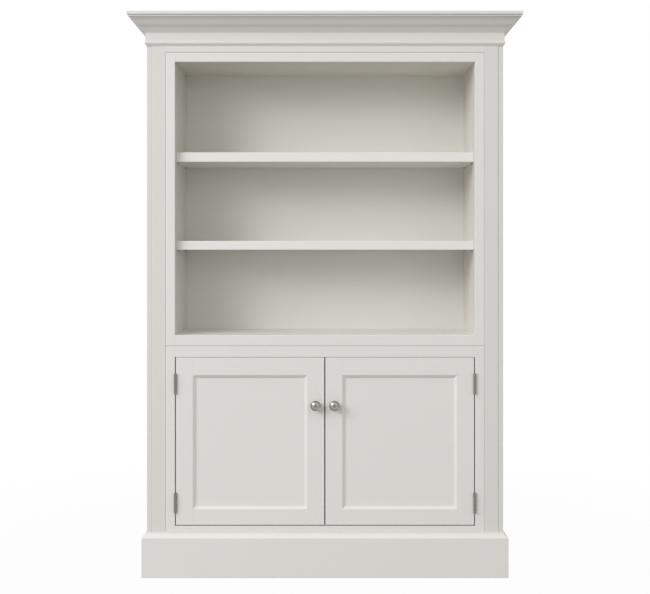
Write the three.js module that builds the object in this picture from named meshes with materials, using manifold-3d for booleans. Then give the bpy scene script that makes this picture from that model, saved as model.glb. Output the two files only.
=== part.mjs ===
// A painted timber bookcase with cabinet doors: an open shelf unit stacked on a two-door cupboard,
// both set between full-height pilasters and end panels, with a mitred cornice and plinth round them.
// Millimetres, +Z up, the front faces -Y. The origin is on the floor, under the middle of the whole piece.

import * as THREE from "three";
import { mergeVertices } from "three/addons/utils/BufferGeometryUtils.js";
import Module from "manifold-3d";

const wasm = await Module();
wasm.setup();

// Widths, from the middle outwards.
const openingWidth = 1120; // clear width of the open shelves and of the cupboard
const frameStileWidth = 35;
const pilasterWidth = 52;
const endPanelThickness = 18;

// Depths, from the face of the frames backwards.
const bodyDepth = 380;
const frameThickness = 22;
const endPanelSetBack = 2; // the end panel's front edge lies behind the pilaster's face
const backPanelThickness = 9;
const backPanelInset = 10; // from the rear edge of the end panels
const backRebate = 8; // how far the back panels enter the end panels

// Heights, from the floor upwards.
const plinthHeight = 170;
const bottomRailReveal = 21.5; // what shows of the cupboard's bottom rail above the plinth
const bottomRailHeight = 50;
const cupboardHeight = 628; // clear height of the door opening
const middleRailHeight = 41.5; // top rail of the cupboard's frame
const bookRailHeight = 41; // bottom rail of the shelf unit's frame
const bookOpeningHeight = 1020;
const topRailHeight = 35;
const fasciaReveal = 24; // what shows of the fascia under the cornice

// Case boards.
const carcassThickness = 18;
const coverThickness = 18;
const coverRecess = 18; // the top cover lies this far below the cornice's top edge
const jointEase = 2; // chamfer where two faces meet in a joint line
const seam = 0.2; // glue line between two boards

// Spacers that tie each end panel to the carcasses.
const spacerWidth = 45;
const spacerInset = 60; // from the ends of the carcass sides

// Plinth.
const plinthThickness = 18;
const plinthBevelHeight = 22.5;
const plinthTopFlat = 2;
const plinthHollowIn = 2.6; // how far the hollow top dips inside a straight bevel
const plinthHollowDown = 1.8;

// Cornice, from its top edge downwards.
const corniceProjection = 64;
const corniceFillet = 13;
const dripStep = 10; // step back under the top fillet
const dripHeight = 4;
const upperOgeeRun = 27.5;
const upperOgeeDrop = 28.5;
const upperBendShare = 0.3; // how much flatter the ogee's ends lie than its straight line
const lowerOgeeRun = 19.5;
const lowerOgeeDrop = 22.5;
const lowerBendShare = 0.12;
const friezeProjection = 4.5;
const friezeHeight = 33;
const lipProjection = 8;
const lipTop = 4; // sloping top of the lip at the foot of the frieze
const lipEdge = 4;
const lipDrop = 10; // sloping underside of the lip
const mouldingSteps = 10;

// Shelves and the pins that carry them.
const shelfThickness = 34;
const shelfSetBack = 32; // from the face of the frames
const shelfArris = 3;
const shelfEndGap = 0.5;
const lowerShelfRise = 318; // clear height under the lower open shelf
const upperShelfRise = 299; // clear height between the two open shelves
const cupboardShelfThickness = 25;
const cupboardShelfRise = 300;
const cupboardShelfSetBack = 90;
const pinRadius = 3.5;
const pinReach = 9; // how far a pin stands out of the carcass side
const pinInset = 50; // from the front and the rear edge of the shelf
const pinGap = 0.3;

// Doors.
const doorThickness = 22;
const hingeGap = 3.5; // between the door and the frame at the hinges
const meetingGap = 4;
const headGap = 1.5;
const footGap = 3.3;
const doorStileWidth = 62.5;
const doorTopRailHeight = 64.5;
const doorBottomRailHeight = 57.2;
const bevelWidth = 12; // sloping moulding round the panel
const bevelDepth = 8;
const bevelQuirk = 1.2; // square edge between the moulding and the panel
const panelThickness = 6;
const panelPlay = 0.2;
const grooveDepth = 10;
const panelTongue = 9; // how much of the panel lies in the groove

// Butt hinges.
const hingeLength = 76;
const barrelRadius = 5;
const hingePinRadius = 2.2;
const hingePlay = 0.3;
const knuckleCount = 5;
const leafThickness = 2;
const leafWidth = 23;
const barrelStandOff = 0.5; // between the barrel and the faces of door and frame
const finialHeight = 2.2;
const topHingeDrop = 97; // from the head of the door to the middle of the hinge
const bottomHingeRise = 82.2; // from the foot of the door to the middle of the hinge

// Knobs.
const knobRadius = 19;
const knobProjection = 34;
const knobRimShare = 0.6; // how far out of its projection the widest part lies
const knobRimBead = 1.8; // radius of the bead round the head
const knobDomeRadius = 15.6;
const knobDomeRise = 1; // from the widest part to the foot of the dome
const knobBaseRadius = 10;
const knobBaseHeight = 3;
const knobNeckRadius = 6.5;
const knobFromMeetingEdge = 33;
const knobDrop = 176.8; // from the head of the door
const neckSteps = 8;
const beadSteps = 6;
const domeSteps = 8;

// Magnetic catch and its strikes.
const catchWidth = 72;
const catchDepth = 15;
const catchHeight = 14;
const strikeWidth = 24;
const strikeHeight = 11;
const strikeThickness = 1.5;
const strikeFromMeetingEdge = 7;
const catchGap = 0.4;
const cutOverrun = 5; // how far a cutter runs past what it cuts
const roundSteps = 24;

// Places worked out from the sizes above.
const openingHalf = openingWidth / 2;
const frameHalf = openingHalf + frameStileWidth;
const pilasterHalf = frameHalf + pilasterWidth;
const bodyHalf = pilasterHalf + endPanelThickness;
const backPanelFront = bodyDepth - backPanelInset - backPanelThickness;
const cupboardFloor = plinthHeight + bottomRailReveal;
const cupboardHead = cupboardFloor + cupboardHeight;
const unitJoint = cupboardHead + middleRailHeight;
const bookFloor = unitJoint + bookRailHeight;
const bookHead = bookFloor + bookOpeningHeight;
const frameTop = bookHead + topRailHeight;
const corniceFoot = frameTop + fasciaReveal;
const crownHeight = corniceFillet + dripHeight + upperOgeeDrop + lowerOgeeDrop;
const corniceHeight = crownHeight + friezeHeight + lipTop + lipEdge + lipDrop;
const overallHeight = corniceFoot + corniceHeight;
const coverTop = overallHeight - coverRecess;
const coverUnderside = coverTop - coverThickness;
const frameFoot = cupboardFloor - bottomRailHeight;
const carcassFront = frameThickness + seam;
const carcassBack = backPanelFront - seam;
const sides = [
  ["left", -1],
  ["right", 1],
];

function paintedTimber() {
  return new THREE.MeshStandardMaterial({ color: 0xdedcd5, roughness: 0.5, metalness: 0 });
}

function pewter() {
  return new THREE.MeshStandardMaterial({ color: 0x8f8b84, roughness: 0.35, metalness: 0.9 });
}

function darkPlastic() {
  return new THREE.MeshStandardMaterial({ color: 0x6b6862, roughness: 0.6, metalness: 0 });
}

function named(name, geometry, material) {
  const mesh = new THREE.Mesh(geometry, material);
  mesh.name = name;
  return mesh;
}

// A geometry as a solid that can be joined and cut.
function solidOf(geometry) {
  const bare = geometry.clone();
  bare.deleteAttribute("normal");
  bare.deleteAttribute("uv");
  const merged = mergeVertices(bare);
  return new wasm.Manifold(
    new wasm.Mesh({
      numProp: 3,
      vertProperties: merged.attributes.position.array,
      triVerts: new Uint32Array(merged.index.array),
    }),
  );
}

function geometryOf(solid) {
  const mesh = solid.getMesh();
  const geometry = new THREE.BufferGeometry();
  geometry.setAttribute("position", new THREE.BufferAttribute(mesh.vertProperties, 3));
  geometry.setIndex(new THREE.BufferAttribute(mesh.triVerts, 1));
  return geometry;
}

// A box from two opposite corners, in any order.
function boxBetween([x0, y0, z0], [x1, y1, z1]) {
  const box = new THREE.BoxGeometry(Math.abs(x1 - x0), Math.abs(y1 - y0), Math.abs(z1 - z0));
  return box.translate((x0 + x1) / 2, (y0 + y1) / 2, (z0 + z1) / 2);
}

// A square-edged board, placed by the middle of its box.
function board(name, [x0, y0, z0], [x1, y1, z1], material = paintedTimber()) {
  const box = new THREE.BoxGeometry(Math.abs(x1 - x0), Math.abs(y1 - y0), Math.abs(z1 - z0));
  const mesh = named(name, box, material);
  mesh.position.set((x0 + x1) / 2, (y0 + y1) / 2, (z0 + z1) / 2);
  return mesh;
}

// An outline of [x, y] points carried up from the floor, or of [y, z] points carried along X.
function carried(outline, length) {
  const shape = new THREE.Shape(outline.map(([u, v]) => new THREE.Vector2(u, v)));
  return new THREE.ExtrudeGeometry(shape, { depth: length, bevelEnabled: false });
}

function carriedAlongX(outline, length) {
  const across = new THREE.Matrix4().makeBasis(
    new THREE.Vector3(0, 1, 0),
    new THREE.Vector3(0, 0, 1),
    new THREE.Vector3(1, 0, 0),
  );
  return carried(outline, length).applyMatrix4(across);
}

// A slab standing behind the face, whose face rectangle and rear rectangle [x0, z0, x1, z1] may differ in size.
function taperedSlab(faceY, face, rearY, rear) {
  const corners = ([x0, z0, x1, z1], y) => [
    [x0, y, z0],
    [x1, y, z0],
    [x1, y, z1],
    [x0, y, z1],
  ];
  const points = [...corners(face, faceY), ...corners(rear, rearY)];
  const quads = [
    [0, 1, 2, 3],
    [5, 4, 7, 6],
    [4, 5, 1, 0],
    [1, 5, 6, 2],
    [2, 6, 7, 3],
    [4, 0, 3, 7],
  ];
  const geometry = new THREE.BufferGeometry();
  geometry.setAttribute("position", new THREE.Float32BufferAttribute(points.flat(), 3));
  geometry.setIndex(quads.flatMap(([a, b, c, d]) => [a, b, c, a, c, d]));
  return geometry;
}

// The same rectangle grown outwards on every side.
function grown([x0, z0, x1, z1], by) {
  return [x0 - by, z0 - by, x1 + by, z1 + by];
}

// A blank of a face frame with its outer edges eased at the front, from which each member is sawn.
function easedBlank(rectangle, thickness) {
  const front = solidOf(taperedSlab(0, grown(rectangle, -jointEase), jointEase, rectangle));
  const rest = solidOf(taperedSlab(jointEase, rectangle, thickness, rectangle));
  return front.add(rest);
}

// A profile of [projection, height] points carried along the front between two mitres.
// Each end's x grows with the projection, so the ends meet the returns at 45 degrees.
function mitredFront(profile, half) {
  const last = half - seam;
  const ends = [-1, 1].map((side) => profile.map(([p, z]) => [side * (last + p), -p, z]));
  return loft(ends[0], ends[1], profile);
}

// The same profile carried along one side, from its mitre to a square rear end.
function mitredReturn(profile, half, side, rearY) {
  const mitre = profile.map(([p, z]) => [side * (half + p), seam - p, z]);
  const square = profile.map(([p, z]) => [side * (half + p), rearY, z]);
  return side < 0 ? loft(square, mitre, profile) : loft(mitre, square, profile);
}

// A closed solid between two loops of points that share one outline.
function loft(first, second, outline) {
  const contour = outline.map(([u, v]) => new THREE.Vector2(u, v));
  const loops = [first, second];
  if (THREE.ShapeUtils.isClockWise(contour)) {
    [contour, ...loops].forEach((loop) => loop.reverse());
  }
  const count = contour.length;
  const faces = [];
  for (let i = 0; i < count; i += 1) {
    const j = (i + 1) % count;
    faces.push([i, j, count + j], [i, count + j, count + i]);
  }
  for (const [a, b, c] of THREE.ShapeUtils.triangulateShape(contour, [])) {
    faces.push([a, c, b], [count + a, count + b, count + c]);
  }
  const points = loops.flat();
  const volume = faces.reduce((sum, face) => {
    const [a, b, c] = face.map((index) => new THREE.Vector3(...points[index]));
    return sum + a.dot(b.cross(c));
  }, 0);
  const facing = volume > 0 ? faces : faces.map(([a, b, c]) => [a, c, b]);
  const geometry = new THREE.BufferGeometry();
  geometry.setAttribute("position", new THREE.Float32BufferAttribute(points.flat(), 3));
  geometry.setIndex(facing.flat());
  return geometry;
}

// Points of a curve given by a function of a share from 0 to 1, without the last point.
function sampled(curve) {
  return Array.from({ length: mouldingSteps }, (_, i) => curve(i / mouldingSteps));
}

// An ogee that slopes back under the edge where it starts: flatter at its two ends and steeper
// half way, by the given share of its mean slope. It comes without its last point.
function ogee(start, top, run, drop, bendShare) {
  const turn = 2 * Math.PI;
  return sampled((t) => [start - run * (t + (bendShare * Math.sin(turn * t)) / turn), top - drop * t]);
}

// The cornice from its top edge down: fillet, stepped drip, two shallow ogees, the flat frieze
// and a sloping lip at its foot.
function corniceProfile() {
  const dripEdge = corniceProjection - dripStep;
  const ogeeMeeting = dripEdge - upperOgeeRun;
  const ogeeEnd = ogeeMeeting - lowerOgeeRun;
  const filletFoot = overallHeight - corniceFillet;
  const dripFoot = filletFoot - dripHeight;
  const meetingHeight = dripFoot - upperOgeeDrop;
  const friezeTop = meetingHeight - lowerOgeeDrop;
  const friezeFoot = friezeTop - friezeHeight;
  const lipHead = friezeFoot - lipTop;
  return [
    [0, overallHeight],
    [corniceProjection, overallHeight],
    [corniceProjection, filletFoot],
    [dripEdge, filletFoot],
    ...ogee(dripEdge, dripFoot, upperOgeeRun, upperOgeeDrop, upperBendShare),
    ...ogee(ogeeMeeting, meetingHeight, lowerOgeeRun, lowerOgeeDrop, lowerBendShare),
    [ogeeEnd, friezeTop],
    [friezeProjection, friezeTop],
    [friezeProjection, friezeFoot],
    [lipProjection, lipHead],
    [lipProjection, lipHead - lipEdge],
    [0, corniceFoot],
  ];
}

// The plinth's flat board, whose top runs back to the frames in a shallow hollow.
function plinthProfile() {
  const run = plinthThickness - plinthTopFlat;
  return [
    [0, 0],
    [plinthThickness, 0],
    ...sampled((t) => [
      plinthThickness - run * t - plinthHollowIn * Math.sin(Math.PI * t),
      plinthHeight - plinthBevelHeight * (1 - t) - plinthHollowDown * Math.sin(Math.PI * t),
    ]),
    [plinthTopFlat, plinthHeight],
    [0, plinthHeight],
  ];
}

// Front piece and two returns of one moulding, clear of the body by the glue line.
function mouldingSet(stem, profile) {
  const half = bodyHalf + seam;
  const set = new THREE.Group();
  const front = named(`${stem}_front`, mitredFront(profile, half), paintedTimber());
  front.position.y = -seam;
  set.add(front);
  for (const [word, side] of sides) {
    const run = mitredReturn(profile, half, side, bodyDepth);
    set.add(named(`${stem}_return_${word}`, run, paintedTimber()));
  }
  return set;
}

// End panel, rebated at the rear for the back panels.
function endPanel(word, side) {
  const inner = pilasterHalf + seam;
  const rebate = pilasterHalf + backRebate;
  const outline = [
    [inner, endPanelSetBack],
    [bodyHalf, endPanelSetBack],
    [bodyHalf, bodyDepth],
    [rebate, bodyDepth],
    [rebate, carcassBack],
    [inner, carcassBack],
  ].map(([x, y]) => [side * x, y]);
  return named(`end_panel_${word}`, carried(outline, coverUnderside - seam), paintedTimber());
}

// The surround's opening for the face frames, flared at the face so that its edges come out eased.
function surroundOpening() {
  const rectangle = [-frameHalf, -cutOverrun, frameHalf, frameTop];
  return solidOf(taperedSlab(0, grown(rectangle, jointEase), jointEase, rectangle));
}

function pilaster(word, side) {
  const outline = [
    [frameHalf, 0],
    [pilasterHalf - jointEase, 0],
    [pilasterHalf, jointEase],
    [pilasterHalf, frameThickness],
    [frameHalf, frameThickness],
  ].map(([x, y]) => [side * x, y]);
  const blank = solidOf(carried(outline, coverUnderside - seam));
  return named(`pilaster_${word}`, geometryOf(blank.subtract(surroundOpening())), paintedTimber());
}

function topFascia() {
  const blank = boxBetween(
    [-frameHalf + seam, 0, frameTop],
    [frameHalf - seam, frameThickness, coverUnderside - seam],
  );
  const cut = solidOf(blank).subtract(surroundOpening());
  return named("top_fascia", geometryOf(cut), paintedTimber());
}

// A face frame: two stiles with two rails between them, sawn from one eased blank.
function faceFrame(stem, foot, head, railTop, railFoot, words) {
  const outer = frameHalf - seam;
  const blank = easedBlank([-outer, foot, outer, head], frameThickness);
  const member = (name, [x0, z0], [x1, z1]) => {
    const saw = boxBetween([x0, -cutOverrun, z0], [x1, frameThickness + cutOverrun, z1]);
    return named(`${stem}_${name}`, geometryOf(blank.intersect(solidOf(saw))), paintedTimber());
  };
  const railHalf = openingHalf - seam;
  const frame = new THREE.Group();
  frame.add(member(words.bottom, [-railHalf, foot - cutOverrun], [railHalf, railTop]));
  frame.add(member(words.top, [-railHalf, railFoot], [railHalf, head + cutOverrun]));
  for (const [word, side] of sides) {
    const near = side * openingHalf;
    const far = side * (frameHalf + cutOverrun);
    const [low, high] = [Math.min(near, far), Math.max(near, far)];
    frame.add(member(`stile_${word}`, [low, foot - cutOverrun], [high, head + cutOverrun]));
  }
  return frame;
}

// The frames' stiles that carry the hinges are recessed for their leaves.
function recessed(mesh, pockets) {
  const cut = pockets.reduce((solid, pocket) => solid.subtract(solidOf(pocket)), solidOf(mesh.geometry));
  mesh.geometry = geometryOf(cut);
  return mesh;
}

// One carcass side with the shelf pins that stand out of its inner face.
function carcassSide(name, side, foot, head, pins) {
  const outer = openingHalf + carcassThickness;
  const blank = boxBetween([side * openingHalf, carcassFront, foot], [side * outer, carcassBack, head]);
  const solid = pins.reduce((sum, [y, z]) => {
    const length = carcassThickness + pinReach;
    const pin = new THREE.CylinderGeometry(pinRadius, pinRadius, length, roundSteps);
    pin.rotateZ(Math.PI / 2).translate(side * (outer - length / 2 - seam), y, z);
    return sum.add(solidOf(pin));
  }, solidOf(blank));
  return named(name, geometryOf(solid), paintedTimber());
}

// Where the pins of a shelf go: under it, near its front and its rear edge.
function pinPlaces(front, underside) {
  const z = underside - pinRadius - pinGap;
  return [
    [front + pinInset, z],
    [carcassBack - pinInset, z],
  ];
}

function carcassBoard(name, underside) {
  return board(
    name,
    [-openingHalf + seam, carcassFront, underside],
    [openingHalf - seam, carcassBack, underside + carcassThickness],
  );
}

function backPanel(name, foot, head) {
  const half = pilasterHalf + backRebate - shelfEndGap;
  return board(name, [-half, backPanelFront, foot], [half, backPanelFront + backPanelThickness, head]);
}

// A shelf with its two front arrises rounded.
function shelf(name, front, underside, thickness) {
  const top = underside + thickness;
  const rear = carcassBack - shelfEndGap;
  const half = openingHalf - shelfEndGap;
  const outline = new THREE.Shape();
  outline.moveTo(rear, underside);
  outline.lineTo(front + shelfArris, underside);
  outline.absarc(front + shelfArris, underside + shelfArris, shelfArris, 1.5 * Math.PI, Math.PI, true);
  outline.absarc(front + shelfArris, top - shelfArris, shelfArris, Math.PI, Math.PI / 2, true);
  outline.lineTo(rear, top);
  const points = outline.getPoints(4).map((point) => [point.x, point.y]);
  const mesh = named(name, carriedAlongX(points, 2 * half), paintedTimber());
  mesh.position.x = -half;
  return mesh;
}

const lowerShelfUnderside = bookFloor + lowerShelfRise;
const upperShelfUnderside = lowerShelfUnderside + shelfThickness + upperShelfRise;
const cupboardShelfUnderside = cupboardFloor + cupboardShelfRise;

function upperUnit() {
  const unit = new THREE.Group();
  const foot = unitJoint + seam;
  const pins = [
    ...pinPlaces(shelfSetBack, lowerShelfUnderside),
    ...pinPlaces(shelfSetBack, upperShelfUnderside),
  ];
  for (const [word, side] of sides) {
    unit.add(carcassSide(`upper_side_${word}`, side, foot, frameTop, pins));
  }
  unit.add(carcassBoard("upper_bottom_board", bookFloor - carcassThickness));
  unit.add(carcassBoard("upper_top_board", bookHead));
  unit.add(backPanel("upper_back_panel", foot, coverUnderside - seam));
  const words = { bottom: "rail_bottom", top: "rail_top" };
  unit.add(faceFrame("upper_frame", foot, frameTop - seam, bookFloor, bookHead, words));
  unit.add(shelf("shelf_lower", shelfSetBack, lowerShelfUnderside, shelfThickness));
  unit.add(shelf("shelf_upper", shelfSetBack, upperShelfUnderside, shelfThickness));
  return unit;
}

const doorFoot = cupboardFloor + footGap;
const doorHead = cupboardHead - headGap;
const doorHeight = doorHead - doorFoot;
const doorWidth = openingHalf - hingeGap - meetingGap / 2;
const axisX = openingHalf - hingeGap / 2;
const axisY = -barrelRadius - barrelStandOff;
const hingeFeet = [
  ["bottom", doorFoot + bottomHingeRise - hingeLength / 2],
  ["top", doorHead - topHingeDrop - hingeLength / 2],
];

// What a hinge leaf needs cut out of the edge that it lies on: from the pin's line outwards or inwards.
function leafPockets(side, away) {
  const depth = hingePlay + leafThickness + hingePlay;
  const rear = axisY + leafWidth + hingePlay;
  return hingeFeet.map(([, foot]) =>
    boxBetween(
      [side * axisX, -cutOverrun, foot - hingePlay],
      [side * (axisX + away * depth), rear, foot + hingeLength + hingePlay],
    ),
  );
}

function lowerUnit() {
  const unit = new THREE.Group();
  const head = unitJoint - seam;
  for (const [word, side] of sides) {
    const pins = pinPlaces(cupboardShelfSetBack, cupboardShelfUnderside);
    unit.add(carcassSide(`lower_side_${word}`, side, 0, head, pins));
  }
  unit.add(carcassBoard("lower_bottom_board", cupboardFloor - carcassThickness));
  unit.add(carcassBoard("lower_top_board", cupboardHead));
  unit.add(backPanel("lower_back_panel", cupboardFloor - carcassThickness, head));
  const words = { bottom: "rail_bottom", top: "rail_top" };
  const frame = faceFrame("lower_frame", frameFoot, head, cupboardFloor, cupboardHead, words);
  for (const [word, side] of sides) {
    recessed(frame.getObjectByName(`lower_frame_stile_${word}`), leafPockets(side, 1));
  }
  unit.add(frame);
  unit.add(
    shelf("cupboard_shelf", cupboardShelfSetBack, cupboardShelfUnderside, cupboardShelfThickness),
  );
  return unit;
}

// The pieces between the carcasses and the end panels.
function spacers() {
  const group = new THREE.Group();
  const inner = openingHalf + carcassThickness + seam;
  const outer = pilasterHalf;
  const rows = [
    ["lower", frameFoot + spacerInset],
    ["upper", frameTop - spacerInset - spacerWidth],
  ];
  for (const [word, side] of sides) {
    for (const [level, foot] of rows) {
      const near = [side * inner, carcassFront, foot];
      const far = [side * outer, carcassBack, foot + spacerWidth];
      group.add(board(`${level}_spacer_${word}`, near, far));
    }
  }
  return group;
}

function topCover() {
  return board("top_cover", [-bodyHalf, 0, coverUnderside], [bodyHalf, bodyDepth, coverTop]);
}

function surround() {
  const group = new THREE.Group();
  for (const [word, side] of sides) {
    group.add(endPanel(word, side));
    group.add(pilaster(word, side));
  }
  group.add(topFascia());
  group.add(topCover());
  group.add(spacers());
  group.add(mouldingSet("cornice", corniceProfile()));
  group.add(mouldingSet("plinth", plinthProfile()));
  return group;
}

// The moulded inner edge of a door member: bevel, quirk and panel groove, in [across, depth],
// where across runs from the member's flat face towards the panel.
function mouldedEdge() {
  const grooveFront = bevelDepth + bevelQuirk;
  const grooveRear = grooveFront + panelThickness + 2 * panelPlay;
  const grooveFoot = bevelWidth - grooveDepth;
  return [
    [0, 0],
    [bevelWidth, bevelDepth],
    [bevelWidth, grooveFront],
    [grooveFoot, grooveFront],
    [grooveFoot, grooveRear],
    [bevelWidth, grooveRear],
    [bevelWidth, doorThickness],
    [0, doorThickness],
  ];
}

// The moulded edge as a solid whose two ends run in at 45 degrees from the member's flat face.
// at(across, depth, along) gives the place in the door; the ends lie at the two given places along.
function mitredEdge(at, start, end) {
  const outline = mouldedEdge();
  const first = outline.map(([u, v]) => at(u, v, start + seam + u));
  const second = outline.map(([u, v]) => at(u, v, end - seam - u));
  return solidOf(loft(first, second, outline));
}

// One door, in a group whose origin is on its hinge line at floor level.
function door(word, side) {
  const group = new THREE.Group();
  group.position.set(side * axisX, axisY, 0);
  const face = -axisY;
  const rear = face + doorThickness;
  const inward = -side; // from the hinges towards the meeting edge
  const hingeEdge = hingeGap / 2;
  const meetingEdge = hingeEdge + doorWidth;
  const hingeFlat = hingeEdge + doorStileWidth;
  const meetingFlat = meetingEdge - doorStileWidth;
  const topFlat = doorHead - doorTopRailHeight;
  const bottomFlat = doorFoot + doorBottomRailHeight;

  const member = (name, low, high, edge) => {
    const blank = boxBetween([inward * low[0], face, low[1]], [inward * high[0], rear, high[1]]);
    return named(`door_${word}_${name}`, geometryOf(solidOf(blank).add(edge)), paintedTimber());
  };
  const upright = (from, towards) =>
    mitredEdge((u, v, w) => [inward * (from + towards * u), face + v, w], bottomFlat, topFlat);
  const level = (from, towards) =>
    mitredEdge((u, v, w) => [inward * w, face + v, from + towards * u], hingeFlat, meetingFlat);

  const hingeStile = member("stile_hinge", [hingeEdge, doorFoot], [hingeFlat, doorHead], upright(hingeFlat, 1));
  const pockets = leafPockets(side, -1).map((pocket) => pocket.translate(-side * axisX, -axisY, 0));
  group.add(recessed(hingeStile, pockets));
  group.add(
    member("stile_meeting", [meetingFlat, doorFoot], [meetingEdge, doorHead], upright(meetingFlat, -1)),
  );
  const railEnds = [hingeFlat + seam, meetingFlat - seam];
  group.add(member("rail_top", [railEnds[0], topFlat], [railEnds[1], doorHead], level(topFlat, -1)));
  group.add(member("rail_bottom", [railEnds[0], doorFoot], [railEnds[1], bottomFlat], level(bottomFlat, 1)));

  const tuck = bevelWidth - panelTongue; // the panel's edge, from the members' flat faces
  const panelFace = face + bevelDepth + bevelQuirk + panelPlay;
  group.add(
    board(
      `door_${word}_panel`,
      [inward * (hingeFlat + tuck), panelFace, bottomFlat + tuck],
      [inward * (meetingFlat - tuck), panelFace + panelThickness, topFlat - tuck],
    ),
  );

  const knobX = inward * (meetingEdge - knobFromMeetingEdge);
  group.add(knob(`door_${word}_knob`, knobX, face - seam, doorHead - knobDrop));
  const strikeHead = cupboardHead - (catchHeight - strikeHeight) / 2 - seam;
  const strikeFoot = Math.min(strikeHead, doorHead) - strikeHeight;
  group.add(
    board(
      `door_${word}_strike`,
      [inward * (meetingEdge - strikeFromMeetingEdge), rear + seam, strikeFoot],
      [inward * (meetingEdge - strikeFromMeetingEdge - strikeWidth), rear + seam + strikeThickness, strikeFoot + strikeHeight],
      pewter(),
    ),
  );
  for (const [level, foot] of hingeFeet) {
    group.add(hingeLeaf(`door_${word}_hinge_leaf_${level}`, inward, foot, false));
  }
  return group;
}

// A turned knob: flat rose, waisted neck and a head with a bead round its dome, its axis running
// forward from the face.
function knob(name, x, faceY, z) {
  const rim = knobProjection * knobRimShare;
  const beadCentre = knobRadius - knobRimBead;
  const neckLength = rim - knobRimBead - knobBaseHeight;
  const domeFoot = rim + knobDomeRise;
  const neck = Array.from({ length: neckSteps }, (_, i) => {
    const t = i / neckSteps;
    const flare = t < 0.5 ? 0 : (beadCentre - knobNeckRadius) * (1 - Math.sqrt(1 - (2 * t - 1) ** 2));
    return [knobNeckRadius + flare, knobBaseHeight + neckLength * t];
  });
  const bead = Array.from({ length: beadSteps + 1 }, (_, i) => {
    const turn = Math.PI * (i / beadSteps - 1 / 2);
    return [beadCentre + knobRimBead * Math.cos(turn), rim + knobRimBead * Math.sin(turn)];
  });
  const dome = Array.from({ length: domeSteps + 1 }, (_, i) => {
    const turn = (Math.PI / 2) * (i / domeSteps);
    return [knobDomeRadius * Math.cos(turn), domeFoot + (knobProjection - domeFoot) * Math.sin(turn)];
  });
  const rose = [[0, 0], [knobBaseRadius, 0], [knobBaseRadius, knobBaseHeight / 2]];
  const profile = [...rose, ...neck, ...bead, ...dome];
  const points = profile.map(([r, y]) => new THREE.Vector2(Math.max(r, 0), -y));
  points[points.length - 1].x = 0;
  const mesh = named(name, new THREE.LatheGeometry(points.reverse(), 2 * roundSteps), pewter());
  mesh.position.set(x, faceY, z);
  return mesh;
}

// One leaf of a butt hinge with its share of the knuckles, about a pin line at x = 0, y = 0.
// The leaf on the frame keeps the pin; the leaf on the door has bored knuckles between the others.
function hingeLeaf(name, towards, foot, keepsPin) {
  const pitch = hingeLength / knuckleCount;
  const plate = boxBetween(
    [towards * hingePlay, barrelRadius + hingePlay, foot],
    [towards * (hingePlay + leafThickness), leafWidth, foot + hingeLength],
  );
  let solid = solidOf(plate);
  for (let i = keepsPin ? 0 : 1; i < knuckleCount; i += 2) {
    const low = foot + i * pitch + hingePlay / 2;
    const high = foot + (i + 1) * pitch - hingePlay / 2;
    const barrel = new THREE.CylinderGeometry(barrelRadius, barrelRadius, high - low, roundSteps);
    barrel.rotateX(Math.PI / 2).translate(0, 0, (low + high) / 2);
    const web = boxBetween(
      [towards * hingePlay, hingePinRadius + 2 * hingePlay, low],
      [towards * (hingePlay + leafThickness), barrelRadius + 2 * hingePlay, high],
    );
    solid = solid.add(solidOf(barrel)).add(solidOf(web));
  }
  const pinLength = hingeLength + (keepsPin ? 2 * finialHeight : 2 * cutOverrun);
  const bore = hingePinRadius + (keepsPin ? 0 : hingePlay);
  const pin = new THREE.CylinderGeometry(bore, bore, pinLength, roundSteps);
  pin.rotateX(Math.PI / 2).translate(0, 0, foot + hingeLength / 2);
  solid = keepsPin ? solid.add(solidOf(pin)) : solid.subtract(solidOf(pin));
  return named(name, geometryOf(solid), pewter());
}

function frameHingeLeaves() {
  const group = new THREE.Group();
  for (const [word, side] of sides) {
    const line = new THREE.Group();
    line.position.set(side * axisX, axisY, 0);
    for (const [level, foot] of hingeFeet) {
      line.add(hingeLeaf(`frame_hinge_leaf_${level}_${word}`, side, foot, true));
    }
    group.add(line);
  }
  return group;
}

// A double magnetic catch under the cupboard's top board, just behind the strikes on the doors.
function magneticCatch() {
  const front = doorThickness + seam + strikeThickness + catchGap;
  const head = cupboardHead - seam;
  return board(
    "magnetic_catch",
    [-catchWidth / 2, front, head - catchHeight],
    [catchWidth / 2, front + catchDepth, head],
    darkPlastic(),
  );
}

const bookcase = new THREE.Group();
bookcase.name = "bookcase";
const body = new THREE.Group();
body.position.y = (corniceProjection + seam - bodyDepth) / 2; // centres the whole depth on the origin
body.add(surround());
body.add(upperUnit());
body.add(lowerUnit());
body.add(magneticCatch());
body.add(frameHingeLeaves());
for (const [word, side] of sides) {
  body.add(door(word, side));
}
bookcase.add(body);

export default bookcase;
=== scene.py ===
"""A painted timber bookcase: open shelves over a two-door cupboard, with a moulded cornice and plinth.

Every board is a rounded outline carried along its length, in millimetres, with the front of the face frames
at FACE. X runs to the right, Y to the back and Z up."""

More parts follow.
